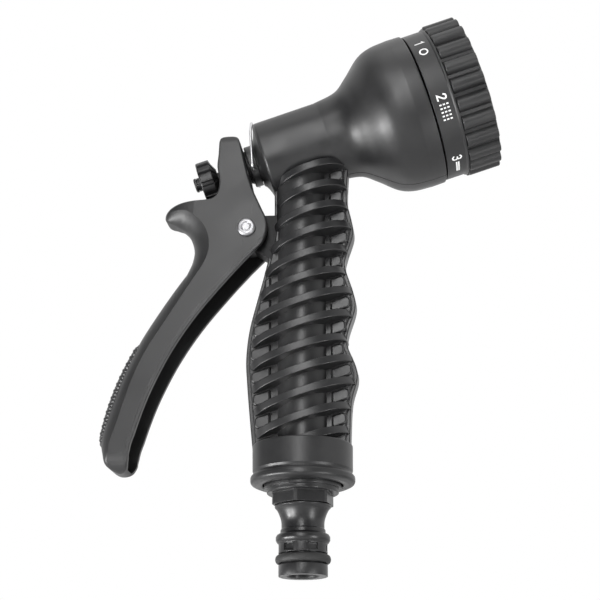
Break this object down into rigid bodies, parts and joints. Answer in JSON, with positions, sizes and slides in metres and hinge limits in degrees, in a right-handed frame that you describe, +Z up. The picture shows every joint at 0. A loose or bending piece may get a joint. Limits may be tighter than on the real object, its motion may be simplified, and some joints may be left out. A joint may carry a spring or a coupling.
{
  "type": "hose spray nozzle",
  "caption": "Pistol-grip garden hose nozzle with a squeeze lever at the rear, flow knob, lock bail, turning spray-pattern dial and click-fit hose spigot.",
  "frame": {"origin": "centre of the spigot's open end, on the inlet axis", "axes": "+Z up along the inlet and handle, +X forwards towards the spray head, +Y across to the left when looking forwards; the object is symmetric about Y = 0 except for its spray patterns"},
  "size_m": [0.1358, 0.0542, 0.1921],
  "materials": {
    "black_nylon": "satin glass-filled nylon",
    "black_nylon_parts": "satin moulded",
    "black_lever": "satin moulded, stippled grip",
    "black_knob": "satin moulded",
    "black_dial": "satin moulded with printed marks",
    "black_spigot": "semi-gloss moulded",
    "face_plastic": "satin moulded",
    "pom": "natural acetal",
    "black_stem": "glass-filled, plain",
    "seal_rubber": "matt",
    "spring_steel": "drawn",
    "rivet_steel": "nickel plated",
    "wire_steel": "bright"
  },
  "bodies": {
    "base": {"body": "black_nylon", "valve_seat": "pom", "gland_nut": "black_nylon_parts", "gland_seal": "seal_rubber", "valve_spring": "spring_steel", "pivot_rivet": "rivet_steel", "dial_washer": "spring_steel", "dial_screw": "spring_steel", "port_seal": "seal_rubber", "seal_spring": "spring_steel", "detent_spring": "spring_steel", "detent_ball": "spring_steel", "inlet_nut": "black_nylon_parts", "inlet_gasket": "seal_rubber", "inlet_spigot": "black_spigot", "spigot_oring": "seal_rubber", "strainer": "spring_steel"},
    "stem": {"valve_stem": "black_stem", "valve_disc": "seal_rubber", "stem_cap": "black_knob"},
    "knob": {"flow_knob": "black_knob"},
    "lever": {"lever": "black_lever", "grip_pad": "black_lever"},
    "dial": {"dial": "black_dial", "spray_face": "face_plastic"},
    "bail": {"wire_bail": "wire_steel"}
  },
  "joints": [
    {"name": "lever_pivot", "type": "hinge", "parent": "base", "child": "lever", "pos_m": [-0.0179, 0, 0.1155], "axis": [0, -1, 0], "range_deg": [0, 14], "stiffness_Nm_per_rad": 0.25, "springref_deg": -8.59},
    {"name": "stem_slide", "type": "slide", "parent": "base", "child": "stem", "axis": [-0.9553, 0, -0.2957], "range_m": [0, 0.0056], "deforming": ["valve_spring"]},
    {"name": "knob_turn", "type": "hinge", "parent": "stem", "child": "knob", "pos_m": [-0.03296, 0, 0.1371], "axis": [0.9553, 0, 0.2957], "continuous": true},
    {"name": "dial_turn", "type": "hinge", "parent": "base", "child": "dial", "pos_m": [0.04776, 0, 0.16209], "axis": [0.9553, 0, 0.2957], "continuous": true},
    {"name": "bail_pivot", "type": "hinge", "parent": "base", "child": "bail", "pos_m": [-0.01598, 0, 0.13806], "axis": [0, -1, 0], "range_deg": [0, 12]}
  ],
  "couplings": [
    {"joint": "stem_slide", "follows": "lever_pivot", "m_per_rad": 0.0222}
  ]
}
